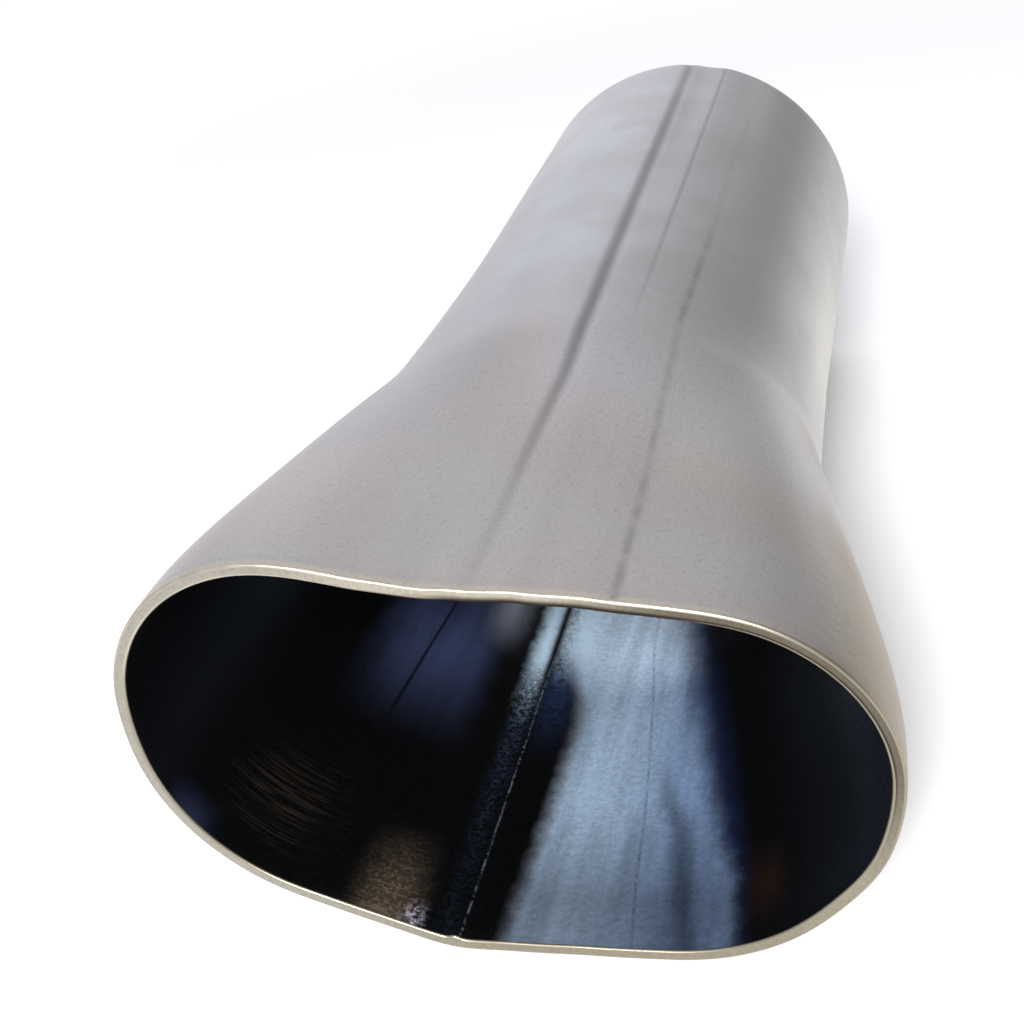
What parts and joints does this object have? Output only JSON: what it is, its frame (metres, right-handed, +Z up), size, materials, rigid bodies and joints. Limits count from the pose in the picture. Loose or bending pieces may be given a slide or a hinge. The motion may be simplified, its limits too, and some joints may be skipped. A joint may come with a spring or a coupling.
{
  "type": "exhaust collector cone",
  "caption": "One-piece steel exhaust collector: a round outlet tube that flares through a creased neck into a wide, low mouth for primary pipes side by side.",
  "frame": {"origin": "centre of the outlet's cut face, on the tube's axis", "axes": "+Y along the tube's axis out of the outlet, so the mouth faces -Y; +Z up, with the cone lying on its flat underside; +X across the mouth's width"},
  "size_m": [0.0935, 0.166, 0.0639],
  "materials": {
    "mill_steel": "bare mill-finish steel, satin, with die lines along the tube"
  },
  "bodies": {
    "root": {"collector_cone": "mill_steel"}
  },
  "joints": []
}
